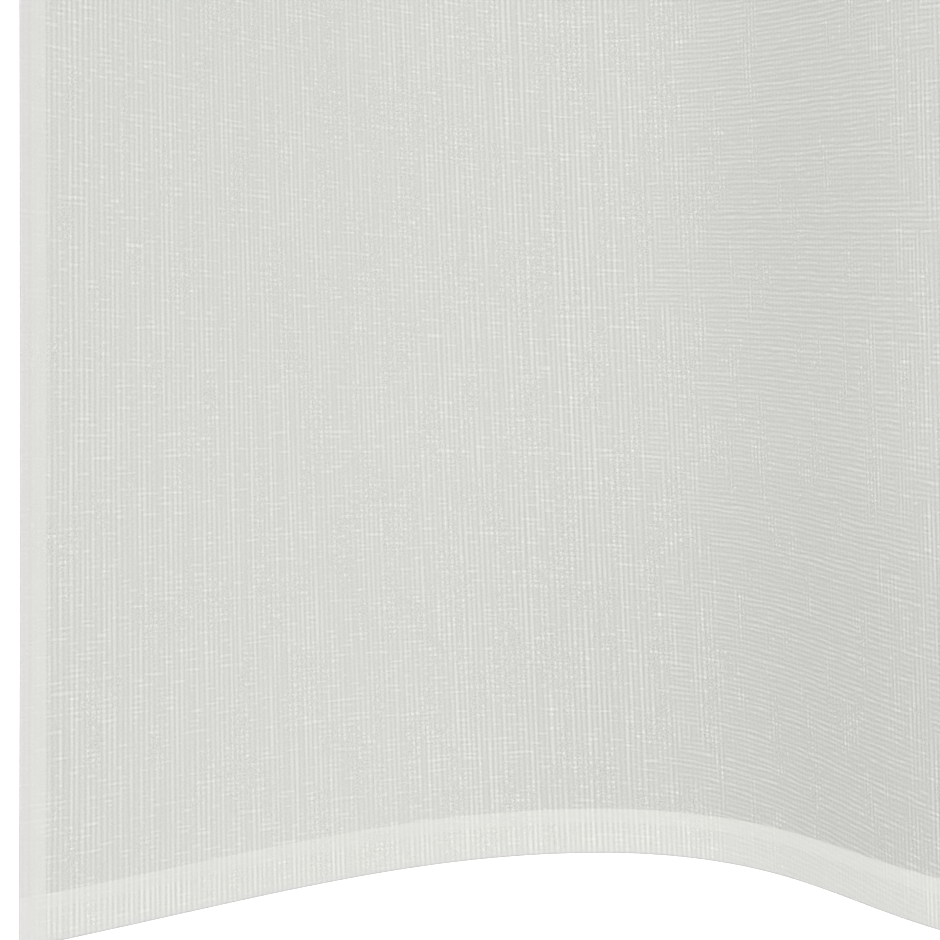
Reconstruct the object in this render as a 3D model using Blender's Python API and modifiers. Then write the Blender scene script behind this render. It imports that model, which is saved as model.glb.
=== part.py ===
"""Voile curtain panel, hung in deep soft folds.

One sheet of open-weave cloth with narrow hems turned in on all four edges. The hems are
part of the sheet, which is a little thicker there. The top edge hangs along +X, the folds
run down -Z, and -Y faces the room. The origin is the middle of the top edge.
"""

from collections import namedtuple
from math import pi

import bmesh
import bpy
import numpy as np

# The finished sheet, in metres, measured along the cloth
CLOTH_WIDTH = 1.40
DROP = 2.45
CLOTH_THICKNESS = 0.0012
HEM_THICKNESS = 0.0020
SIDE_HEM = 0.0081
BOTTOM_HEM = 0.0143
TOP_HEM = 0.030
HEM_STEP = 0.003  # the cloth thins from hem to single layer over this much

# How it hangs. A fold is the cloth from one fold line to the next. Its cloth is straight across
# (angle 0) on the fold lines and turns to the flank angle halfway between them. The folds keep
# their top angles down to HEM_REACH above the bottom, and pass smoothly to their hem angles.
LEAD_IN = 0.104  # cloth that the first fold lacks: the side edge lies a third of the way into it
FOLD_SOFTNESS = 1.25  # near 0: straight flanks with tight turns. Large: an even sine wave
HEM_REACH = 0.80
EDGE_LEAN = 0.010  # how far the left edge leans out at the bottom

# cloth: metres of cloth in the fold. top_angle, hem_angle: degrees of its flank, from straight
# across. hem_rise: metres that the bottom edge has climbed by the fold's far line.
Fold = namedtuple("Fold", "cloth top_angle hem_angle hem_rise")
FOLDS = (
    Fold(cloth=0.308, top_angle=56, hem_angle=38, hem_rise=0.0000),
    Fold(cloth=0.230, top_angle=67, hem_angle=71, hem_rise=0.0185),
    Fold(cloth=0.196, top_angle=62, hem_angle=70, hem_rise=0.0020),
    Fold(cloth=0.212, top_angle=63, hem_angle=65, hem_rise=0.0100),
    Fold(cloth=0.188, top_angle=65, hem_angle=69, hem_rise=0.0010),
    Fold(cloth=0.204, top_angle=65, hem_angle=61, hem_rise=0.0120),
    Fold(cloth=0.270, top_angle=54, hem_angle=50, hem_rise=0.0040),
)

# Mesh
COLUMNS_BETWEEN_HEMS = 80
ROWS_BETWEEN_HEMS = 15
INTEGRATION_STEP = 0.0005  # metres of cloth

COLOUR = (0.70, 0.71, 0.68, 1.0)  # off-white yarn with a grey-green cast, linear
ROUGHNESS = 0.9


def clear_scene():
    for obj in list(bpy.data.objects):
        bpy.data.objects.remove(obj, do_unlink=True)


def fold_lines():
    """Cloth distance from the left edge to each end of every fold, in metres."""
    lengths = [fold.cloth for fold in FOLDS]
    return np.concatenate([[0.0], np.cumsum(lengths)]) - LEAD_IN


def openness(z):
    """0 where the folds have their top angles, 1 at the bottom edge, as a smooth square."""
    height = DROP + z
    return np.clip(1 - height / HEM_REACH, 0, 1) ** 2


def cloth_angles(along, opened):
    """Angle of the cloth in plan at each distance along it, in radians."""
    angles = np.zeros_like(along)
    lines = fold_lines()
    for index, fold in enumerate(FOLDS):
        inside = (along >= lines[index]) & (along <= lines[index + 1])
        wave = np.sin(pi * (along[inside] - lines[index]) / fold.cloth)
        shape = wave * np.sqrt((1 + FOLD_SOFTNESS**2) / (wave**2 + FOLD_SOFTNESS**2))
        flank = fold.top_angle + (fold.hem_angle - fold.top_angle) * opened
        angles[inside] = (-1) ** index * np.radians(flank) * shape
    return angles


def plan_curve(opened):
    """(along, x, y): the cloth's path seen from above, from its left edge, for one height."""
    along = np.arange(0, CLOTH_WIDTH + INTEGRATION_STEP / 2, INTEGRATION_STEP)
    angles = cloth_angles(along[:-1] + INTEGRATION_STEP / 2, opened)
    x = np.concatenate([[0.0], np.cumsum(np.cos(angles))]) * INTEGRATION_STEP
    y = np.concatenate([[0.0], np.cumsum(np.sin(angles))]) * INTEGRATION_STEP
    return along, x, y


def hem_rise(stations):
    """How far the bottom edge has climbed at each station. It climbs in step with the fold's depth."""
    along, _, y = plan_curve(opened=1.0)
    lines = np.clip(fold_lines(), 0, CLOTH_WIDTH)
    depths = np.interp(lines, along, y)
    rises = [FOLDS[0].hem_rise] + [fold.hem_rise for fold in FOLDS]
    result = np.zeros_like(stations)
    for index in range(len(FOLDS)):
        inside = (stations >= lines[index]) & (stations <= lines[index + 1])
        travelled = np.interp(stations[inside], along, y) - depths[index]
        share = travelled / (depths[index + 1] - depths[index])
        result[inside] = rises[index] + (rises[index + 1] - rises[index]) * share
    return result


def hung(stations, heights):
    """Points of the middle of the cloth, for each height and each station along the cloth."""
    _, top_x, top_y = plan_curve(opened=0.0)
    points = np.zeros((len(heights), len(stations), 3))
    for row, height in enumerate(heights):
        opened = openness(height)
        along, x, y = plan_curve(opened)
        points[row, :, 0] = np.interp(stations, along, x) - top_x[-1] / 2 - EDGE_LEAN * opened
        points[row, :, 1] = np.interp(stations, along, y) - top_y.mean()
        points[row, :, 2] = height
    # The bottom edge is cut a little off the thread, so the rows close up where it climbs.
    points[:, :, 2] += np.outer(openness(heights), hem_rise(stations))
    return points


def marks(first_hem, last_hem, length, count):
    """Mesh lines along one side of the sheet: both hems with their steps, and count even parts between."""
    between = np.linspace(first_hem + HEM_STEP, length - last_hem - HEM_STEP, count + 1)
    return np.concatenate([[0, first_hem], between, [length - last_hem, length]])


def flat_grid(name, columns, rows):
    """A grid object with a vertex for each column and row, and each vertex's column and row numbers.

    The grid starts flat, from -1 to 1 both ways, with row 0 at its far side.
    """
    mesh = bpy.data.meshes.new(name)
    grid = bmesh.new()
    bmesh.ops.create_grid(grid, x_segments=columns - 1, y_segments=rows - 1, size=1.0)
    grid.to_mesh(mesh)
    grid.free()
    flat = np.empty(len(mesh.vertices) * 3)
    mesh.vertices.foreach_get("co", flat)
    flat = (flat.reshape(-1, 3) + 1) / 2
    column = np.rint(flat[:, 0] * (columns - 1)).astype(int)
    row = np.rint((1 - flat[:, 1]) * (rows - 1)).astype(int)
    return bpy.data.objects.new(name, mesh), column, row


def voile():
    material = bpy.data.materials.new("polyester voile, plain woven")
    material.use_nodes = True
    shader = material.node_tree.nodes["Principled BSDF"]
    shader.inputs["Base Color"].default_value = COLOUR
    shader.inputs["Roughness"].default_value = ROUGHNESS
    shader.inputs["Metallic"].default_value = 0.0
    return material


def curtain_panel():
    stations = marks(SIDE_HEM, SIDE_HEM, CLOTH_WIDTH, COLUMNS_BETWEEN_HEMS)
    lengths_down = marks(TOP_HEM, BOTTOM_HEM, DROP, ROWS_BETWEEN_HEMS)
    panel, column, row = flat_grid("curtain_panel", len(stations), len(lengths_down))
    points = hung(stations, -lengths_down)[row, column]
    panel.data.vertices.foreach_set("co", points.ravel())
    panel.data.update()

    hem_columns = np.isin(column, [0, 1, len(stations) - 2, len(stations) - 1])
    hem_rows = np.isin(row, [0, 1, len(lengths_down) - 2, len(lengths_down) - 1])
    hems = panel.vertex_groups.new(name="hems")
    hems.add(np.flatnonzero(hem_columns | hem_rows).tolist(), 1.0, "REPLACE")

    sheet = panel.modifiers.new("sheet", "SOLIDIFY")
    sheet.thickness = HEM_THICKNESS
    sheet.offset = 0.0
    sheet.vertex_group = hems.name
    sheet.thickness_vertex_group = CLOTH_THICKNESS / HEM_THICKNESS

    panel.data.shade_smooth()
    panel.data.materials.append(voile())
    return panel


def main():
    clear_scene()
    collection = bpy.data.collections.new("voile curtain")
    bpy.context.scene.collection.children.link(collection)
    collection.objects.link(curtain_panel())


main()
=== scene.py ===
"""A voile curtain panel, hung in deep soft folds.

The panel is one woven sheet. Its hems are turned to the back from the same cloth, so the sheet is
made as it was cut, and every turned layer is really there. -Y faces the room, and the folds run down
from the top edge at z = 0.
"""

import logging
from dataclasses import dataclass
from math import pi, radians

import bpy
import numpy as np
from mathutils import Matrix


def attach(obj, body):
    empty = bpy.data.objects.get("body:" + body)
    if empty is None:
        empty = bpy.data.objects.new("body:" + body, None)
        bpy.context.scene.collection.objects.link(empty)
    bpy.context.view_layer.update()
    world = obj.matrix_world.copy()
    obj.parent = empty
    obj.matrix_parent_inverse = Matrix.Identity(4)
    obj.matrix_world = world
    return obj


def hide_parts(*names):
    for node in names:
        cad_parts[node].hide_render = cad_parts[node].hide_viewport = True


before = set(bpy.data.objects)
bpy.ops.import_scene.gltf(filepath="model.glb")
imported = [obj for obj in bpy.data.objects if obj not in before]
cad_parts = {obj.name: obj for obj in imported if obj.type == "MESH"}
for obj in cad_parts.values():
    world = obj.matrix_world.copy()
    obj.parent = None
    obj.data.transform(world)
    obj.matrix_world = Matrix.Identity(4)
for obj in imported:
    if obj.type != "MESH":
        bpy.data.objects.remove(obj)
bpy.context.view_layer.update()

log = logging.getLogger("voile curtain")


def linear(hex_colour: str) -> tuple[float, float, float, float]:
    """Turn an sRGB hex colour into linear light.

    Args:
        hex_colour: six hex digits after a #.

    Returns:
        Red, green, blue and an alpha of 1.
    """
    shares = [int(hex_colour[start : start + 2], 16) / 255 for start in (1, 3, 5)]
    red, green, blue = (
        share / 12.92 if share <= 0.04045 else ((share + 0.055) / 1.055) ** 2.4 for share in shares
    )
    return red, green, blue, 1.0


def eased(share: np.ndarray) -> np.ndarray:
    """Clip to 0 to 1 and round both ends off: 3 s squared less 2 s cubed."""
    share = np.clip(share, 0, 1)
    return share * share * (3 - 2 * share)


# --- How the cloth hangs ---------------------------------------------------------------------------


@dataclass(frozen=True)
class Fold:
    """The cloth from one fold line to the next.

    The cloth is straight across on its fold lines, and turns to the flank angle halfway between.
    """

    cloth: float  # metres of cloth in the fold
    top_angle: float  # degrees of its flank, from straight across, down to the reach of the hem
    hem_angle: float  # degrees of its flank at the bottom edge
    hem_rise: float  # metres that the bottom edge has climbed by the fold's far line


@dataclass(frozen=True)
class Sway:
    """One slow wave in the way that the folds hang."""

    length: float  # metres down the panel
    across: float  # radians by which it shifts for each metre of cloth
    phase: float  # radians
    sideways: float  # metres
    outwards: float  # metres


@dataclass(frozen=True)
class Drape:
    """The shape in which the panel hangs."""

    width: float = 1.40
    drop: float = 2.45
    lead_in: float = 0.104  # cloth that the first fold lacks before the side edge
    softness: float = 1.25  # near 0: straight flanks with tight turns. Large: an even sine wave
    hem_reach: float = 0.80  # the folds open towards their hem angles below this height
    edge_lean: float = 0.0097  # how far the left edge leans out at the bottom
    step: float = 0.0005  # metres of cloth in each step of the sum along a row
    weft_fall: float = 0.042  # how far the weft drops for each metre of the first fold, at the hem
    weft_fall_growth: float = 0.05  # how much more it drops for each metre above the hem
    weft_fall_reach: float = 0.30  # height above the hem past which it grows no more
    # The folds hang a little out of true, in slow waves that don't repeat down the panel.
    sways: tuple[Sway, ...] = (
        Sway(length=1.30, across=8.0, phase=0.6, sideways=0.0030, outwards=0.0030),
        Sway(length=0.72, across=-15.0, phase=2.1, sideways=0.0018, outwards=0.0018),
        Sway(length=0.41, across=26.0, phase=4.4, sideways=0.0007, outwards=0.0010),
    )
    outward_rate: float = 1.3  # outward waves for each sideways one, so that they don't keep step
    true_width: float = 0.40  # the lower left corner hangs true within this width and height
    true_height: float = 0.45
    folds: tuple[Fold, ...] = (
        Fold(cloth=0.308, top_angle=56, hem_angle=38, hem_rise=0.0000),
        Fold(cloth=0.230, top_angle=67, hem_angle=71, hem_rise=0.0185),
        Fold(cloth=0.196, top_angle=62, hem_angle=70, hem_rise=0.0020),
        Fold(cloth=0.212, top_angle=63, hem_angle=65, hem_rise=0.0100),
        Fold(cloth=0.188, top_angle=65, hem_angle=69, hem_rise=0.0010),
        Fold(cloth=0.204, top_angle=65, hem_angle=61, hem_rise=0.0120),
        Fold(cloth=0.270, top_angle=54, hem_angle=50, hem_rise=0.0040),
    )

    def lines(self) -> np.ndarray:
        """Cloth distance from the left edge to each end of every fold."""
        lengths = [fold.cloth for fold in self.folds]
        return np.concatenate([[0.0], np.cumsum(lengths)]) - self.lead_in

    def openness(self, z: np.ndarray | float) -> np.ndarray:
        """0 where the folds have their top angles, 1 at the bottom edge, as a smooth square."""
        return np.clip(1 - (self.drop + z) / self.hem_reach, 0, 1) ** 2

    def angles(self, along: np.ndarray, opened: float) -> np.ndarray:
        """Angle of the cloth in plan, in radians.

        In each fold it is the flank angle times a flat-topped sine, w sqrt((1 + s2) / (w2 + s2)) for a
        sine w and the squared softness s2, and the folds take turns to go back and to come forward.

        Args:
            along: distances along the cloth from the left edge.
            opened: how far the folds have opened, from openness.

        Returns:
            An angle for each distance.
        """
        lines = self.lines()
        index = np.clip(np.searchsorted(lines, along, side="right") - 1, 0, len(self.folds) - 1)
        cloth = np.array([fold.cloth for fold in self.folds])[index]
        top = np.array([fold.top_angle for fold in self.folds])[index]
        hem = np.array([fold.hem_angle for fold in self.folds])[index]
        wave = np.sin(pi * (along - lines[index]) / cloth)
        shape = wave * np.sqrt((1 + self.softness**2) / (wave**2 + self.softness**2))
        return np.where(index % 2, -1, 1) * np.radians(top + (hem - top) * opened) * shape

    def plan(self, opened: float) -> tuple[np.ndarray, np.ndarray, np.ndarray]:
        """The cloth's path seen from above: its angle's cosine and sine summed along the cloth.

        Args:
            opened: how far the folds have opened, from openness.

        Returns:
            Distances along the cloth, and x and y there from the left edge.
        """
        along = np.arange(0, self.width + self.step / 2, self.step)
        angles = self.angles(along[:-1] + self.step / 2, opened)
        x = np.concatenate([[0.0], np.cumsum(np.cos(angles))]) * self.step
        y = np.concatenate([[0.0], np.cumsum(np.sin(angles))]) * self.step
        return along, x, y

    def rise(self, stations: np.ndarray) -> np.ndarray:
        """How far the bottom edge has climbed, in step with the depth of each fold.

        Args:
            stations: distances along the cloth from the left edge.

        Returns:
            Metres, for each station.
        """
        along, _, y = self.plan(opened=1.0)
        lines = np.clip(self.lines(), 0, self.width)
        depths = np.interp(lines, along, y)
        rises = np.array([self.folds[0].hem_rise] + [fold.hem_rise for fold in self.folds])
        index = np.clip(np.searchsorted(lines, stations, side="right") - 1, 0, len(self.folds) - 1)
        share = (np.interp(stations, along, y) - depths[index]) / (depths[index + 1] - depths[index])
        return rises[index] + (rises[index + 1] - rises[index]) * share

    def weft_drop(self, stations: np.ndarray, heights: np.ndarray) -> np.ndarray:
        """How far the weft hangs below its height at the left edge.

        It drops in step with the cloth of the first fold, a little more steeply higher up, and then
        runs level.

        Args:
            stations: distances along the cloth, a column each.
            heights: real heights of the cloth, rows by columns.

        Returns:
            Metres, for each row and column.
        """
        above = np.clip(heights + self.drop, 0, self.weft_fall_reach)
        return np.minimum(stations, self.lines()[1]) * (self.weft_fall + self.weft_fall_growth * above)

    def swayed(self, stations: np.ndarray, heights: np.ndarray) -> tuple[np.ndarray, np.ndarray]:
        """How far the cloth hangs out of true: a sum of sines down the panel, none near the corner.

        Args:
            stations: distances along the cloth, a column each.
            heights: z before the bottom edge climbs, a row each.

        Returns:
            Metres along X and along Y, for each row and column.
        """
        along = stations[None, :]
        above_hem = (heights + self.drop)[:, None]
        free = eased(np.hypot(along / self.true_width, above_hem / self.true_height) - 1)
        sideways, outwards = np.zeros_like(free), np.zeros_like(free)
        for sway in self.sways:
            turn = 2 * pi * above_hem / sway.length + sway.across * along + sway.phase
            sideways += sway.sideways * np.sin(turn)
            outwards += sway.outwards * np.cos(self.outward_rate * turn)
        return free * sideways, free * outwards

    def left_edge_y(self) -> float:
        """y of the left edge, which is the same all the way down."""
        return -float(self.plan(opened=0.0)[2].mean())

    def top_width(self) -> float:
        """Width along X of the gathered top edge."""
        return float(self.plan(opened=0.0)[1][-1])

    def hang(self, stations: np.ndarray, heights: np.ndarray) -> tuple[np.ndarray, np.ndarray]:
        """Place the cloth: each row is the plan path at its own openness, and the lowest rows climb.

        Args:
            stations: distances along the cloth, a column each.
            heights: z before the bottom edge climbs, a row each.

        Returns:
            Points, and unit vectors that point out of the cloth's back, both rows by columns by 3.
        """
        points = np.zeros((len(heights), len(stations), 3))
        backs = np.zeros_like(points)
        for row, height in enumerate(heights):
            opened = float(self.openness(height))
            along, x, y = self.plan(opened)
            angles = self.angles(stations, opened)
            points[row, :, 0] = np.interp(stations, along, x) - self.edge_lean * opened
            points[row, :, 1] = np.interp(stations, along, y)
            backs[row, :, 0] = -np.sin(angles)
            backs[row, :, 1] = np.cos(angles)
        points[:, :, 0] -= self.top_width() / 2
        points[:, :, 1] += self.left_edge_y()
        sideways, outwards = self.swayed(stations, heights)
        points[:, :, 0] += sideways
        points[:, :, 1] += outwards
        points[:, :, 2] = heights[:, None]
        points[:, :, 2] += np.outer(self.openness(heights), self.rise(stations))
        return points, backs


# --- How the cloth was cut and turned --------------------------------------------------------------


@dataclass(frozen=True)
class Hem:
    """An edge of the cloth, turned to the back with its raw edge tucked in between."""

    depth: float  # metres
    tuck: float  # metres

    @property
    def allowance(self) -> float:
        """Cloth past the finished edge."""
        return self.depth + self.tuck


@dataclass(frozen=True)
class Turns:
    """Where each line of the cut cloth ends up, in one direction of the sheet."""

    cut: np.ndarray  # distance along the cut cloth, 0 at the first finished edge
    finished: np.ndarray  # distance along the finished sheet
    rank: np.ndarray  # place in the stack of turned layers: 0 is the face
    flip: np.ndarray  # 1 where the layer lies face down, 0 where it lies face up
    stack: np.ndarray  # layers behind the face at this distance along the finished sheet, eased
    doubled: np.ndarray  # the same with crisp steps
    edge: np.ndarray  # 1 at a finished edge, easing to 0 a little way in: where its painted shade shows


@dataclass(frozen=True)
class CutSide:
    """One direction of the cut cloth, with the hem at its start and at its end."""

    length: float
    start: Hem
    end: Hem
    spacing: float  # metres between mesh lines away from the hems
    jog: float = 0.0016  # length over which a turned layer steps over the tuck under it
    fold: float = 0.0005  # half the length of the turn at a finished edge
    crisp: float = 0.0006  # length of a crisp step
    edge_shade_reach: float = 0.0030  # how far in from a finished edge its painted grey shade shows
    edge_shade_fade: float = 0.0030  # length at the end of that over which it fades

    def lines(self, hem: Hem) -> np.ndarray:
        """Where mesh lines cross the turned cloth: at its steps and turns, and between them.

        Args:
            hem: the hem.

        Returns:
            Distances past its finished edge.
        """
        over_tuck = hem.depth - hem.tuck
        step = [over_tuck - self.jog, over_tuck - self.jog / 2, over_tuck]
        turn = [hem.depth - self.fold, hem.depth, hem.depth + self.fold]
        tuck = [hem.depth + hem.tuck / 2, hem.allowance]
        flap = [0.0, self.fold, over_tuck / 2] + step + [hem.depth - hem.tuck / 2]
        return np.array(flap + turn + tuck)

    def face_lines(self) -> np.ndarray:
        """Where mesh lines cross the face: close over the hems, and even between.

        Returns:
            Distances from the first finished edge.
        """
        first, last = (self.face_lines_over(hem) for hem in (self.start, self.end))
        count = round((self.length - last[-1] - first[-1]) / self.spacing)
        between = np.linspace(first[-1], self.length - last[-1], count + 1)
        return np.concatenate([first[:-1], between, self.length - last[-2::-1]])

    def face_lines_over(self, hem: Hem) -> np.ndarray:
        """Where mesh lines cross the face over a hem.

        Args:
            hem: the hem.

        Returns:
            Distances from its finished edge.
        """
        over_tuck = hem.depth - hem.tuck
        edge = [0.0, self.fold, self.edge_shade_reach - self.edge_shade_fade / 2, self.edge_shade_reach]
        steps = [over_tuck, over_tuck + self.crisp, hem.depth, hem.depth + self.crisp]
        return np.unique(np.round(edge + steps, 6))

    def rank_of_flap(self, hem: Hem, over: np.ndarray) -> np.ndarray:
        """1 beside the finished edge and 2 over the tuck, eased between."""
        return 1 + eased((over - (hem.depth - hem.tuck - self.jog)) / self.jog)

    def stacked(self, finished: np.ndarray) -> np.ndarray:
        """Layers behind the face, eased to none past a hem.

        Args:
            finished: distances along the finished sheet.

        Returns:
            A number of layers for each distance.
        """
        result = np.zeros_like(finished)
        for hem, over in ((self.start, finished), (self.end, self.length - finished)):
            flap = self.rank_of_flap(hem, over)
            fades = 1 - eased((over - hem.depth) / (2 * self.jog))
            result += flap * fades
        return result

    def crisply_doubled(self, finished: np.ndarray) -> np.ndarray:
        """Layers behind the face, with each step as short as the mesh draws it.

        Args:
            finished: distances along the finished sheet.

        Returns:
            A number of layers for each distance.
        """
        result = np.zeros_like(finished)
        for hem, over in ((self.start, finished), (self.end, self.length - finished)):
            tuck_starts = eased((over - (hem.depth - hem.tuck)) / self.crisp)
            ends = eased((over - hem.depth) / self.crisp)
            result += (1 + tuck_starts) * (1 - ends)
        return result

    def edges(self, finished: np.ndarray) -> np.ndarray:
        """Painted edge shade: 1 at both finished edges, easing to 0 at the end of their reach."""
        nearest = np.minimum(finished, self.length - finished)
        return 1 - eased((nearest - self.edge_shade_reach + self.edge_shade_fade) / self.edge_shade_fade)

    def turns(self) -> Turns:
        """Follow the cut cloth from one raw edge to the other, over both hems.

        A finished edge lies halfway between the face and the flap, and the turn at a hem's depth
        halfway between the flap and the tuck under it.

        Returns:
            Where each of its mesh lines ends up.
        """
        face = self.face_lines()
        start, end = self.lines(self.start)[::-1], self.lines(self.end)
        cut = np.concatenate([-start[:-1], face, self.length + end[1:]])
        over = np.maximum(-cut, cut - self.length)
        finished, rank, flip = cut.copy(), np.zeros_like(cut), np.zeros_like(cut)
        for hem, past, edge, inwards in (
            (self.start, cut <= 0, 0.0, 1.0),
            (self.end, cut >= self.length, self.length, -1.0),
        ):
            flap = past & (over < hem.depth)
            tuck = past & (over > hem.depth)
            edge_line, turn_line = past & (over == 0), past & np.isclose(over, hem.depth)
            flap, tuck = flap & ~turn_line, tuck & ~turn_line
            depth = np.where(over > hem.depth, 2 * hem.depth - over, over)
            finished = np.where(past, edge + inwards * depth, finished)
            rank = np.where(flap, self.rank_of_flap(hem, over), rank)
            rank = np.where(edge_line, 0.5, np.where(turn_line, 1.5, np.where(tuck, 1.0, rank)))
            flip = np.where(flap, 1.0, np.where(edge_line | turn_line, 0.5, flip))
        return Turns(
            cut,
            finished,
            rank,
            flip,
            self.stacked(finished),
            self.crisply_doubled(finished),
            self.edges(finished),
        )


@dataclass
class VoilePanel:
    """The panel: one sheet of voile, cut with hem allowances, turned and hung."""

    drape: Drape = Drape()
    side_hem: Hem = Hem(depth=0.0081, tuck=0.0045)
    bottom_hem: Hem = Hem(depth=0.0143, tuck=0.0044)
    top_hem: Hem = Hem(depth=0.030, tuck=0.010)
    layer: float = 0.00022  # from one layer of cloth to the next
    drawn_in: float = 0.0005  # how far each turned layer stays behind the side edges
    column_spacing: float = 0.0042
    row_spacing: float = 0.0125
    margin: float = 0.002  # round the cut in its unit square
    node: str = "curtain_panel"

    def build(self) -> bpy.types.Object:
        """Make the sheet as a grid of the cut cloth, its rows across and its columns down.

        A layer's place behind the face is rank (side stack + 1) + side place, and a layer that lies
        face down has its side layers in the other order. So the corners fold the way cloth does, the
        side hem first and the other hem over it.

        Returns:
            The sheet, with its maps, at the origin.
        """
        over_tuck = self.side_hem.depth - self.side_hem.tuck
        sides = CutSide(
            self.drape.width,
            self.side_hem,
            self.side_hem,
            self.column_spacing,
            edge_shade_reach=over_tuck + CutSide.crisp,
            edge_shade_fade=CutSide.crisp,
        ).turns()
        downs = CutSide(self.drape.drop, self.top_hem, self.bottom_hem, self.row_spacing).turns()
        points, backs = self.drape.hang(sides.finished, -downs.finished)
        face_down = downs.flip[:, None]
        side_place = (1 - face_down) * sides.rank + face_down * (sides.stack - sides.rank)
        place = downs.rank[:, None] * (sides.stack + 1) + side_place
        points += backs * (place * self.layer)[:, :, None]
        acrosses = np.stack([backs[:, :, 1], -backs[:, :, 0], backs[:, :, 2]], axis=-1)
        drawn_in = downs.rank[:, None] * self.drawn_in * self.beside_edges(sides.finished)
        points += acrosses * drawn_in[:, :, None]

        sheet = grid_object("voile_cloth", points)
        self.add_maps(sheet, sides, downs, points[:, :, 2])
        layers = (1 + sides.doubled) * (1 + downs.doubled[:, None]) - 1
        # Painted grey shade beside each turned edge, where the fold turns away from the light
        edge = np.maximum(sides.edge, downs.edge[:, None])
        in_side_hem = np.broadcast_to(np.minimum(sides.doubled, 1), layers.shape)
        for name, values in (("doubled", layers), ("side_hem", in_side_hem), ("edge", edge)):
            attribute = sheet.data.attributes.new(name, "FLOAT", "POINT")
            attribute.data.foreach_set("value", values.astype(np.float32).ravel())
        return sheet

    def beside_edges(self, finished: np.ndarray) -> np.ndarray:
        """1 at the left edge and -1 at the right one, eased to 0 over twice a side hem."""
        reach = 2 * self.side_hem.depth
        return eased(1 - finished / reach) - eased(1 - (self.drape.width - finished) / reach)

    def add_maps(self, sheet: bpy.types.Object, sides: Turns, downs: Turns, z: np.ndarray) -> None:
        """Give the sheet its thread map, in metres, and the same cut laid out in a unit square.

        The thread map runs u along the weft and v along the warp. On the face v is the real height plus
        the drop of the weft, and past the finished edges it is carried on along the cut.

        Args:
            sheet: the sheet.
            sides: its columns.
            downs: its rows.
            z: its real heights, rows by columns.
        """
        past_bottom = np.maximum(downs.cut - self.drape.drop, 0)[:, None]
        past_top = np.maximum(-downs.cut, 0)[:, None]
        bottom = -self.drape.drop + self.drape.rise(sides.finished)
        height = np.where(past_bottom > 0, bottom, np.where(past_top > 0, 0.0, z))
        v = height + self.drape.weft_drop(sides.finished, height) - past_bottom + past_top
        threads = np.stack([np.broadcast_to(sides.cut, v.shape), v], axis=-1)
        low, high = threads.min(axis=(0, 1)), threads.max(axis=(0, 1))
        set_map(sheet, "threads", threads)
        set_map(sheet, "OFBake", self.margin + (1 - 2 * self.margin) * (threads - low) / (high - low))

    def hang(self, material: bpy.types.Material) -> bpy.types.Object:
        """Args:
            material: the voile.

        Returns:
            The sheet.
        """
        sheet = self.build()
        sheet.data.materials.append(material)
        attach(sheet, "root")
        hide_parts(self.node)
        return sheet


def grid_object(name: str, points: np.ndarray) -> bpy.types.Object:
    """Make a smooth quad mesh from a grid of points.

    Args:
        name: the object's name.
        points: rows by columns by 3. Rows go down and columns go right, seen from the front.

    Returns:
        The object, linked to the scene.
    """
    rows, columns, _ = points.shape
    index = np.arange(rows * columns).reshape(rows, columns)
    quads = np.stack([index[1:, :-1], index[1:, 1:], index[:-1, 1:], index[:-1, :-1]], axis=-1)
    mesh = bpy.data.meshes.new(name)
    mesh.vertices.add(rows * columns)
    mesh.vertices.foreach_set("co", points.ravel())
    mesh.loops.add(quads.size)
    mesh.loops.foreach_set("vertex_index", quads.ravel())
    mesh.polygons.add(quads.size // 4)
    mesh.polygons.foreach_set("loop_start", np.arange(0, quads.size, 4))
    mesh.update(calc_edges=True)
    mesh.validate()
    mesh.shade_smooth()
    obj = bpy.data.objects.new(name, mesh)
    bpy.context.scene.collection.objects.link(obj)
    return obj


def set_map(obj: bpy.types.Object, name: str, places: np.ndarray) -> None:
    """Give a grid object a UV map.

    Args:
        obj: the object.
        name: the map's name.
        places: rows by columns by 2, a place for each point of the grid.
    """
    corners = np.empty(len(obj.data.loops), dtype=np.int32)
    obj.data.loops.foreach_get("vertex_index", corners)
    layer = obj.data.uv_layers.new(name=name, do_init=False)
    layer.uv.foreach_set("vector", places.reshape(-1, 2)[corners].astype(np.float32).ravel())


# --- Finishes --------------------------------------------------------------------------------------

MATH = "ShaderNodeMath"
TIMES = {"operation": "MULTIPLY"}
TIMES_PLUS = {"operation": "MULTIPLY_ADD"}
CLAMPED = {"use_clamp": True}
MIX = "ShaderNodeMix"
MAP_RANGE = "ShaderNodeMapRange"
EASED = {"interpolation_type": "SMOOTHSTEP"}
NOISE = "ShaderNodeTexNoise"
FLAT = {"noise_dimensions": "2D"}  # over the plane of the cut cloth
NOISE_MEAN = 0.5


class Graph:
    """The node tree of a material or of the world."""

    def __init__(self, tree: bpy.types.NodeTree) -> None:
        """Start from an empty tree."""
        tree.nodes.clear()
        self.tree = tree

    def add(
        self, kind: str, settings: dict | None = None, inputs: dict | None = None
    ) -> bpy.types.Node:
        """Add a node.

        Args:
            kind: the node's type.
            settings: values of its properties.
            inputs: a number, a colour, an output socket, or a node for its first output, for each
                input by its name or number.

        Returns:
            The node.
        """
        node = self.tree.nodes.new(kind)
        for name, value in (settings or {}).items():
            setattr(node, name, value)
        for key, value in (inputs or {}).items():
            source = value.outputs[0] if isinstance(value, bpy.types.Node) else value
            if isinstance(source, bpy.types.NodeSocket):
                self.tree.links.new(source, node.inputs[key])
            else:
                node.inputs[key].default_value = source
        return node


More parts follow.
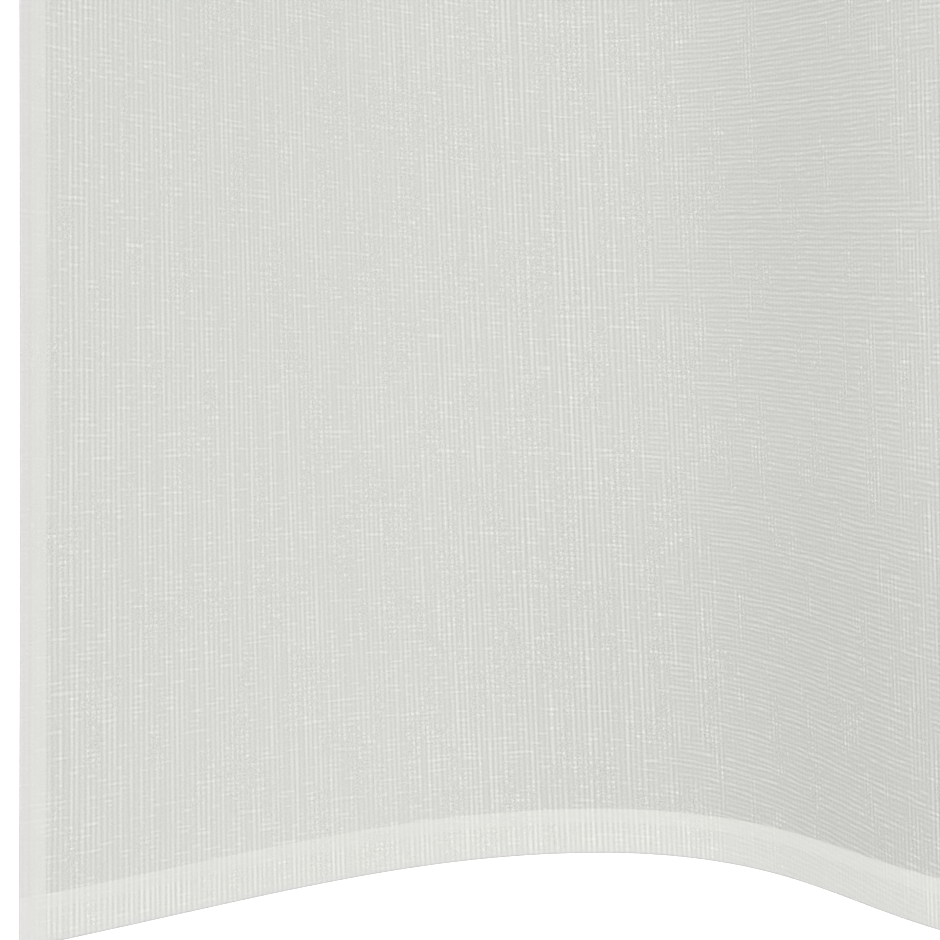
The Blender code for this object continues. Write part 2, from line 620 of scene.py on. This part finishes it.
@dataclass(frozen=True)
class Threads:
    """One set of parallel threads in the weave."""

    pitch: float  # metres from one thread to the next
    sharpness: float  # power of the ridge: below 1 the threads are wide, and the gaps narrow
    stray: float  # how far a thread wanders, as a share of the pitch
    stray_length: float  # metres along the thread between wanderings
    own: float  # how much whole threads differ in fullness
    slubs: tuple[float, float]  # where on the noise's 0 to 1 the yarn starts to thicken and is thick
    slub_length: float  # metres
    seed: float  # of its slubs and wanderings
    stray_scale: float = 0.6  # of the noise, so that threads side by side wander much alike
    unlike: float = 7.3  # noise lengths from one thread's slubs to the next one's

    def ridges(
        self,
        graph: Graph,
        across: bpy.types.NodeSocket,
        along: bpy.types.NodeSocket,
        thin: bpy.types.Node | float,
    ) -> tuple[bpy.types.Node, bpy.types.Node, bpy.types.Node]:
        """Draw the threads as a wave across them, 0.5 - 0.5 cos of their number, to a power.

        The fullness is the slub of each thread, less a part that it has of its own.

        Args:
            graph: the material's tree.
            across: distance in metres across the threads.
            along: distance in metres along them.
            thin: fullness where the yarn is thin, of 1.

        Returns:
            The ridges, from 0 between threads to 1 on a thread, their fullness, from 0 to 1, and the
            number of the thread.
        """
        numbered = graph.add(MATH, {"operation": "DIVIDE"}, {0: across, 1: self.pitch})
        slow = graph.add(MATH, {"operation": "DIVIDE"}, {0: along, 1: self.stray_length})
        strays_at = graph.add("ShaderNodeCombineXYZ", None, {0: numbered, 1: slow, 2: self.seed})
        strays = graph.add(
            NOISE, None, {"Vector": strays_at, "Scale": self.stray_scale, "Detail": 2.0}
        )
        place = graph.add(MATH, TIMES_PLUS, {0: strays, 1: 2 * self.stray, 2: numbered})
        number = graph.add(MATH, {"operation": "FLOOR"}, {0: place})
        turn = graph.add(MATH, TIMES, {0: place, 1: 2 * pi})
        cosine = graph.add(MATH, {"operation": "COSINE"}, {0: turn})
        wave = graph.add(MATH, TIMES_PLUS, {0: cosine, 1: -0.5, 2: 0.5})
        ridge = graph.add(MATH, {"operation": "POWER"}, {0: wave, 1: self.sharpness})

        named = graph.add(MATH, {"operation": "ADD"}, {0: number, 1: self.seed})
        own = graph.add("ShaderNodeTexWhiteNoise", {"noise_dimensions": "1D"}, {"W": named})
        slubs = graph.add(MATH, {"operation": "DIVIDE"}, {0: along, 1: self.slub_length})
        apart = graph.add(MATH, TIMES, {0: named, 1: self.unlike})
        slubs_at = graph.add("ShaderNodeCombineXYZ", None, {0: apart, 1: slubs})
        slub = graph.add(NOISE, FLAT, {"Vector": slubs_at, "Scale": 1.0, "Detail": 2.0})
        starts, thick = self.slubs
        thickness = graph.add(
            MAP_RANGE,
            EASED,
            {"Value": slub, "From Min": starts, "From Max": thick, "To Min": thin, "To Max": 1.0},
        )
        fullness = graph.add(
            MATH, TIMES_PLUS | CLAMPED, {0: own.outputs["Value"], 1: -self.own, 2: thickness}
        )
        return ridge, fullness, number


@dataclass(frozen=True)
class Voile:
    """Polyester voile, plain woven from slub yarn and left matt.

    The yarn is thick and thin both ways, so the eye sees fine upright ribs that come and go, short
    bright weft slubs across them, and upright patches of bright specks where thick places cross. The
    warp is full in wide bands of the width, and between them the weft shows more. Between its threads
    the cloth is open, more so in some stretches of the width. Where it is doubled its layers close
    each other's gaps, so a hem is lighter and smoother. Beside a turned edge it is painted a little
    grey, as shade where the fold turns away from the light.
    """

    name: str = "polyester voile, plain woven"
    yarn: str = "#ebece8"  # full yarn
    ground: str = "#bcbdb9"  # shade between threads
    hem_yarn: str = "#ebece9"  # many layers
    edge_shade: str = "#d1cfd1"  # painted grey shade of the turned edge
    edge_shade_share: float = 0.6  # how much of that painted shade the turned edge has
    warp: Threads = Threads(
        pitch=0.00181, sharpness=0.85, stray=0.30, stray_length=0.030, own=0.45,
        slubs=(0.38, 0.62), slub_length=0.024, seed=11.0,
    )
    weft: Threads = Threads(
        pitch=0.00160, sharpness=0.95, stray=0.50, stray_length=0.008, own=0.35,
        slubs=(0.48, 0.68), slub_length=0.0052, seed=37.0,
    )
    level: float = 0.378  # shade where ridges are at their mean, from ground to yarn
    ridge_mean: float = 0.37  # taken from each ridge, so that fuller threads are hardly lighter

    # How strongly the threads show, and their fullness where the yarn is thin. The first of two
    # numbers is for the bands of thin warp, and the second for the bands of full warp.
    warp_weight: tuple[float, float] = (0.088, 0.40)
    warp_thin: float = 0.60
    weft_weight: tuple[float, float] = (0.36, 0.33)
    weft_thin: tuple[float, float] = (0.62, 0.12)
    band: float = 0.445  # metres from the middle of one full band to the next
    band_at: float = 0.075  # metres from the left edge to the middle of the first
    band_ragged: float = 1.5  # how far the patches' noise moves the ends of a band
    band_ends: tuple[float, float] = (-0.10, 0.15)  # of the band's wave with that noise

    # Patches of thick crossings, with fewer ribs and more loose fibres in them
    patch: tuple[float, float] = (0.010, 0.026)  # metres across and down
    patches_at: float = 0.165  # metres from the left edge: most patches are here, and a band further on
    patch_lead: float = 0.07  # how much the noise rises there
    patch_ends: tuple[float, float] = (0.52, 0.68)  # of the noise
    ribs_in_patch: float = 0.55
    crossing_weight: float = 0.21
    crossing_share: float = 0.50  # of crossings that are thick, in the middle of a patch
    crossing_sharpness: float = 1.5
    fuzz: tuple[float, float] = (0.36, 0.50)  # of loose fibres, everywhere and added in a patch
    fuzz_size: float = 0.00055  # metres: a clump, because single fibres are too fine to show

    # Doubled cloth, of 1 in single cloth
    warp_in_hem: float = 1.35
    warp_in_side_hem: float = 0.30
    weft_in_hem: float = 0.62
    smooth_in_hem: float = 0.4  # of the weave, from the second layer behind
    cloud: tuple[float, float] = (-0.045, 0.14)  # of the hem's own colour, at least and by noise
    cloud_size: float = 1 / 90  # metres

    # How far the cloth covers what is behind it
    open_alpha: tuple[float, float] = (0.46, 0.83)  # in gaps, where it is most open and most closed
    closed_at: float = 0.09  # metres from the left edge to where it is most closed
    closed_band: float = 0.46  # metres from there to the next such stretch
    yarn_alpha: float = 0.96
    left_open: float = 0.18  # share of the gaps that one more layer leaves open

    relief: float = 0.00012  # metres from the ground to the top of a full thread
    roughness: float = 0.78
    sheen: float = 0.10
    sheen_roughness: float = 0.6
    ior: float = 1.45

    def material(self) -> bpy.types.Material:
        """Build the material on the sheet's thread map.

        Returns:
            The voile.
        """
        material = bpy.data.materials.new(self.name)
        material.use_nodes = True
        graph = Graph(material.node_tree)
        places = graph.add("ShaderNodeUVMap", {"uv_map": "threads"})
        doubled, side_hem, edge = (
            graph.add("ShaderNodeAttribute", {"attribute_name": name}).outputs["Fac"]
            for name in ("doubled", "side_hem", "edge")
        )
        weave = self.weave(graph, places, doubled, side_hem)

        # A second layer behind smooths the weave, and each layer leaves fewer gaps open.
        second_layer = {"Value": doubled, "From Min": 1.0, "From Max": 2.0}
        smooth = graph.add(MAP_RANGE, None, second_layer | {"To Max": self.smooth_in_hem})
        fullness = graph.add(MIX, {"data_type": "FLOAT"}, {0: smooth, 2: weave, 3: self.level})
        left = graph.add(MATH, {"operation": "POWER"}, {0: self.left_open, 1: doubled})
        closed = graph.add(MATH, {"operation": "SUBTRACT"}, {0: 1.0, 1: left})
        bump = graph.add(
            "ShaderNodeBump", None, {"Height": fullness, "Distance": self.relief, "Strength": 1.0}
        )
        shader = graph.add(
            "ShaderNodeBsdfPrincipled",
            None,
            {
                "Base Color": self.colour(graph, places, fullness, closed, edge),
                "Alpha": self.cover(graph, places, fullness, closed),
                "Normal": bump,
                "Roughness": self.roughness,
                "Sheen Weight": self.sheen,
                "Sheen Roughness": self.sheen_roughness,
                "IOR": self.ior,
            },
        )
        graph.add("ShaderNodeOutputMaterial", None, {"Surface": shader})
        return material

    def colour(
        self,
        graph: Graph,
        places: bpy.types.Node,
        fullness: bpy.types.Node,
        closed: bpy.types.Node,
        edge: bpy.types.NodeSocket,
    ) -> bpy.types.NodeSocket:
        """Mix ground and yarn, then the hem's colour in soft clouds, then the edge's painted shade.

        Args:
            graph: the material's tree.
            places: the thread map.
            fullness: the weave.
            closed: share of the gaps that the layers behind close.
            edge: 1 at a turned edge, where its painted shade shows.

        Returns:
            The colour.
        """
        clouds = graph.add(
            NOISE, FLAT, {"Vector": places, "Scale": 1 / self.cloud_size, "Detail": 2.0}
        )
        least, added = self.cloud
        cloudy = graph.add(MATH, TIMES_PLUS, {0: clouds, 1: added, 2: least})
        in_hem = graph.add(MATH, TIMES, {0: closed, 1: cloudy})
        # Painted grey shade at the turned edge, where the fold turns away from the light
        painted_edge_shade = graph.add(MATH, TIMES, {0: edge, 1: self.edge_shade_share})
        colour = linear(self.ground)
        over = (fullness, self.yarn), (in_hem, self.hem_yarn), (painted_edge_shade, self.edge_shade)
        for share, shade in over:
            mixed = graph.add(MIX, {"data_type": "RGBA"}, {0: share, 6: colour, 7: linear(shade)})
            colour = mixed.outputs[2]
        return colour

    def cover(
        self, graph: Graph, places: bpy.types.Node, fullness: bpy.types.Node, closed: bpy.types.Node
    ) -> bpy.types.Node:
        """Find how far the cloth covers what is behind it.

        Args:
            graph: the material's tree.
            places: the thread map.
            fullness: the weave.
            closed: share of the gaps that the layers behind close.

        Returns:
            A node whose output is 1 where nothing shows through.
        """
        u = graph.add("ShaderNodeSeparateXYZ", None, {0: places}).outputs["X"]
        most_open, most_closed = self.open_alpha
        gaps = graph.add(
            MAP_RANGE,
            None,
            {
                "Value": self.wave(graph, u, self.closed_band, self.closed_at),
                "From Min": -1.0,
                "To Min": most_open,
                "To Max": most_closed,
            },
        )
        single = graph.add(
            MAP_RANGE, None, {"Value": fullness, "To Min": gaps, "To Max": self.yarn_alpha}
        )
        return graph.add(MIX, {"data_type": "FLOAT"}, {0: closed, 2: single, 3: 1.0})

    def wave(
        self, graph: Graph, u: bpy.types.NodeSocket, length: float, at: float
    ) -> bpy.types.Node:
        """Draw a cosine wave across the cloth.

        Args:
            graph: the material's tree.
            u: metres along the weft.
            length: metres from crest to crest.
            at: where a crest is.

        Returns:
            A node whose output runs from -1 to 1.
        """
        turn = 2 * pi / length
        angle = graph.add(MATH, TIMES_PLUS, {0: u, 1: turn, 2: -turn * at})
        return graph.add(MATH, {"operation": "COSINE"}, {0: angle})

    def spread(
        self, graph: Graph, places: bpy.types.Node, u: bpy.types.NodeSocket
    ) -> tuple[bpy.types.Node, bpy.types.Node]:
        """Spread patches and bands over the cloth.

        The patches are a noise stretched down the warp, with a wave across the width added. The bands
        are another wave across the width, with the same noise added so that their ends are ragged.

        Args:
            graph: the material's tree.
            places: the thread map.
            u: metres along the weft.

        Returns:
            A node for the patches and one for the bands of full warp, 1 inside and 0 outside.
        """
        across, down = self.patch
        stretched = graph.add(
            "ShaderNodeMapping", None, {"Vector": places, "Scale": (1 / across, 1 / down, 1.0)}
        )
        slubby = graph.add(NOISE, FLAT, {"Vector": stretched, "Scale": 1.0, "Detail": 2.0})
        lead = self.wave(graph, u, self.band, self.patches_at)
        patches = graph.add(MATH, TIMES_PLUS, {0: lead, 1: self.patch_lead, 2: slubby})
        wave = self.wave(graph, u, self.band, self.band_at)
        bands = graph.add(MATH, TIMES_PLUS, {0: slubby, 1: self.band_ragged, 2: wave})
        patched, full = (
            graph.add(MAP_RANGE, EASED, {"Value": value, "From Min": outside, "From Max": inside})
            for value, (outside, inside) in ((patches, self.patch_ends), (bands, self.band_ends))
        )
        return patched, full

    def weave(
        self,
        graph: Graph,
        places: bpy.types.Node,
        doubled: bpy.types.NodeSocket,
        side_hem: bpy.types.NodeSocket,
    ) -> bpy.types.Node:
        """Sum the warp, the weft, their thick crossings and the fuzz about an even level.

        Each set of threads adds its ridges above their mean, times its fullness, times a strength that
        changes with the bands, the patches and the hems.

        Args:
            graph: the material's tree.
            places: the thread map.
            doubled: layers behind the face.
            side_hem: 1 in a side hem.

        Returns:
            A node whose output is 0 in a gap and 1 on a thick crossing.
        """
        parts = graph.add("ShaderNodeSeparateXYZ", None, {0: places})
        u, v = parts.outputs["X"], parts.outputs["Y"]
        patched, full = self.spread(graph, places, u)
        weft_thin, warp_by_band, weft_by_band = (
            graph.add(MAP_RANGE, None, {"Value": full, "To Min": in_thin, "To Max": in_full})
            for in_thin, in_full in (self.weft_thin, self.warp_weight, self.weft_weight)
        )
        in_patch, warp_in_hem, weft_in_hem, warp_in_side_hem = (
            graph.add(MAP_RANGE, None, {"Value": place, "To Min": 1.0, "To Max": there})
            for place, there in (
                (patched, self.ribs_in_patch),
                (doubled, self.warp_in_hem),
                (doubled, self.weft_in_hem),
                (side_hem, self.warp_in_side_hem),
            )
        )
        warp, warp_fullness, warp_number = self.warp.ridges(graph, u, v, self.warp_thin)
        weft, weft_fullness, weft_number = self.weft.ridges(graph, v, u, weft_thin)
        total = self.level
        for ridge, fullness, strength, factors in (
            (warp, warp_fullness, warp_by_band, (warp_in_hem, in_patch, warp_in_side_hem)),
            (weft, weft_fullness, weft_by_band, (weft_in_hem, in_patch)),
        ):
            for factor in factors:
                strength = graph.add(MATH, TIMES, {0: strength, 1: factor})
            above = graph.add(MATH, {"operation": "SUBTRACT"}, {0: ridge, 1: self.ridge_mean})
            height = graph.add(MATH, TIMES, {0: above, 1: fullness})
            total = graph.add(MATH, TIMES_PLUS, {0: height, 1: strength, 2: total})

        share = graph.add(MATH, TIMES, {0: patched, 1: self.crossing_share})
        numbers = graph.add("ShaderNodeCombineXYZ", None, {0: warp_number, 1: weft_number})
        chance = graph.add("ShaderNodeTexWhiteNoise", FLAT, {"Vector": numbers})
        chosen = graph.add(
            MATH, {"operation": "LESS_THAN"}, {0: chance.outputs["Value"], 1: share}
        )
        crossing = graph.add(MATH, TIMES, {0: warp, 1: weft})
        narrow = graph.add(MATH, {"operation": "POWER"}, {0: crossing, 1: self.crossing_sharpness})
        thick = graph.add(MATH, TIMES, {0: narrow, 1: chosen})
        total = graph.add(MATH, TIMES_PLUS, {0: thick, 1: self.crossing_weight, 2: total})

        fuzz = graph.add(
            NOISE, FLAT, {"Vector": places, "Scale": 1 / self.fuzz_size, "Detail": 1.0}
        )
        either_side = graph.add(MATH, {"operation": "SUBTRACT"}, {0: fuzz, 1: NOISE_MEAN})
        everywhere, added = self.fuzz
        amount = graph.add(MATH, TIMES_PLUS, {0: patched, 1: added, 2: everywhere})
        return graph.add(MATH, TIMES_PLUS | CLAMPED, {0: either_side, 1: amount, 2: total})


# --- Studio ----------------------------------------------------------------------------------------


@dataclass(frozen=True)
class SoftLight:
    """A large soft lamp."""

    name: str
    place: tuple[float, float, float]  # metres
    aim: tuple[float, float, float]  # metres
    size: float  # metres across
    watts: float

    def hang(self) -> bpy.types.Object:
        """Add the lamp, turned to its aim.

        Returns:
            The lamp.
        """
        lamp = bpy.data.lights.new(self.name, "AREA")
        lamp.shape = "DISK"
        lamp.size = self.size
        lamp.energy = self.watts
        obj = bpy.data.objects.new(self.name, lamp)
        obj.location = self.place
        obj.rotation_euler = facing(np.subtract(self.aim, self.place))
        bpy.context.scene.collection.objects.link(obj)
        return obj


def facing(towards: np.ndarray) -> tuple[float, float, float]:
    """Find how to turn an object's -Z along a direction, with its Y kept upwards.

    Args:
        towards: the direction, of any length.

    Returns:
        Turns about X, Y and Z, in radians.
    """
    x, y, z = (float(part) for part in towards)
    tilt = float(np.arctan2(np.hypot(x, y), -z))
    return tilt, 0.0, float(np.arctan2(-x, y))


@dataclass
class Studio:
    """A white studio: a pale floor, soft light all round and two soft boxes."""

    drape: Drape = Drape()
    floor_gap: float = 0.25  # the hem hangs this far above the floor
    floor_size: float = 30.0
    paint: str = "#f4f4f2"  # matt, so that the floor is even, without gloss
    surround: float = 1.07  # light from all round
    backdrop: float = 1.05  # how bright the surround looks
    floor_fill: float = 0.30  # light added to the floor as it looks, so that it is as white
    dim_backdrop: float = 0.43  # how bright both look through the voile: painted shade behind the cloth
    dim_floor: tuple[float, float] = (0.32, 0.43)  # the floor through the voile, near and far off: a painted shadow of the panel, darker near it
    dim_floor_ends: tuple[float, float] = (1.0, 4.0)  # metres behind the panel that these are at
    boxes: tuple[SoftLight, ...] = (
        SoftLight("right_box", (2.2, -3.0, -0.6), (0.0, 0.0, -1.6), 2.2, 15.4),
        SoftLight("left_box", (-2.2, -3.0, -0.6), (0.0, 0.0, -1.6), 2.2, 32.2),
    )
    # The camera stands close to the lower left corner, a little above the hem, and looks down.
    lens: float = 81.57  # millimetres
    sensor: float = 36.0
    shift: float = -0.0445  # of the sensor's width
    tilt: float = 5.169  # degrees below level
    right_of_edge: float = 0.12115  # metres
    before_edge: float = 0.60131
    above_hem: float = 0.20608
    sight: tuple[float, float] = (0.05, 100.0)  # nearest and furthest that it sees

    def shown(
        self,
        graph: Graph,
        lighting: bpy.types.Node,
        looked_at: bpy.types.Node,
        through_cloth: bpy.types.Node,
    ) -> bpy.types.Node:
        """Choose what a part of the studio is for light, to look at, and to look at through the cloth.

        Args:
            graph: the tree.
            lighting: the shader that lights the scene.
            looked_at: the shader that shows past the cloth.
            through_cloth: the shader that shows through it, as painted shade.

        Returns:
            A node with the chosen shader.
        """
        path = graph.add("ShaderNodeLightPath")
        layers = path.outputs["Transparent Depth"]
        through = graph.add(MATH, {"operation": "GREATER_THAN"}, {0: layers, 1: 0.5})
        seen = graph.add("ShaderNodeMixShader", None, {0: through, 1: looked_at, 2: through_cloth})
        is_seen = path.outputs["Is Camera Ray"]
        return graph.add("ShaderNodeMixShader", None, {0: is_seen, 1: lighting, 2: seen})

    def surround_light(self) -> None:
        """Give the scene a plain world."""
        world = bpy.data.worlds.new("studio")
        bpy.context.scene.world = world
        world.use_nodes = True
        graph = Graph(world.node_tree)
        white = linear("#ffffff")
        # Camera rays through the voile see the surround as painted shade, dimmer than the light it
        # gives.
        lighting, looked_at, through_cloth = (
            graph.add("ShaderNodeBackground", None, {"Color": white, "Strength": strength})
            for strength in (self.surround, self.backdrop, self.dim_backdrop)
        )
        surface = self.shown(graph, lighting, looked_at, through_cloth)
        graph.add("ShaderNodeOutputWorld", None, {"Surface": surface})

    def floor(self) -> bpy.types.Object:
        """Lay the pale floor.

        Returns:
            The floor.
        """
        half = self.floor_size / 2
        ends = np.array([-half, half])
        points = np.zeros((2, 2, 3))
        points[:, :, 0] = ends[None, :]
        points[:, :, 1] = -ends[:, None]
        points[:, :, 2] = -self.drape.drop - self.floor_gap
        floor = grid_object("floor", points)
        material = bpy.data.materials.new("painted floor, matt")
        material.use_nodes = True
        graph = Graph(material.node_tree)
        paint = graph.add("ShaderNodeBsdfDiffuse", None, {"Color": linear(self.paint)})
        fill = graph.add("ShaderNodeEmission", None, {"Strength": self.floor_fill})
        looked_at = graph.add("ShaderNodeAddShader", None, {0: paint, 1: fill})
        # Through the voile the floor is a painted shadow of the panel: darker near it, lighter further
        # off.
        place = graph.add("ShaderNodeTexCoord").outputs["Object"]
        near, far = self.dim_floor_ends
        near_light, far_light = self.dim_floor
        light = graph.add(
            MAP_RANGE,
            None,
            {
                "Value": graph.add("ShaderNodeSeparateXYZ", None, {0: place}).outputs["Y"],
                "From Min": near,
                "From Max": far,
                "To Min": near_light,
                "To Max": far_light,
            },
        )
        painted_floor_shadow = graph.add("ShaderNodeEmission", None, {"Strength": light})
        surface = self.shown(graph, paint, looked_at, painted_floor_shadow)
        graph.add("ShaderNodeOutputMaterial", None, {"Surface": surface})
        floor.data.materials.append(material)
        return floor

    def camera(self) -> bpy.types.Object:
        """Stand the camera before the lower left corner.

        Returns:
            The camera.
        """
        lens = bpy.data.cameras.new("camera")
        lens.lens = self.lens
        lens.sensor_width = self.sensor
        lens.shift_y = self.shift
        lens.clip_start, lens.clip_end = self.sight
        camera = bpy.data.objects.new("camera", lens)
        camera.location = (
            -self.drape.top_width() / 2 + self.right_of_edge,
            self.drape.left_edge_y() - self.before_edge,
            -self.drape.drop + self.above_hem,
        )
        camera.rotation_euler = (radians(90 - self.tilt), 0.0, 0.0)
        bpy.context.scene.collection.objects.link(camera)
        bpy.context.scene.camera = camera
        return camera

    def set_up(self) -> None:
        """Build the whole studio."""
        bpy.context.scene.view_settings.view_transform = "Standard"
        self.surround_light()
        self.floor()
        for box in self.boxes:
            box.hang()
        self.camera()


def main() -> None:
    """Hang the panel in the studio and report what was made."""
    logging.basicConfig(level=logging.INFO, format="%(name)s: %(message)s")
    drape = Drape()
    Studio(drape).set_up()
    sheet = VoilePanel(drape).hang(Voile().material())
    log.info("%s: %d faces", sheet.name, len(sheet.data.polygons))


if __name__ == "__main__":
    main()
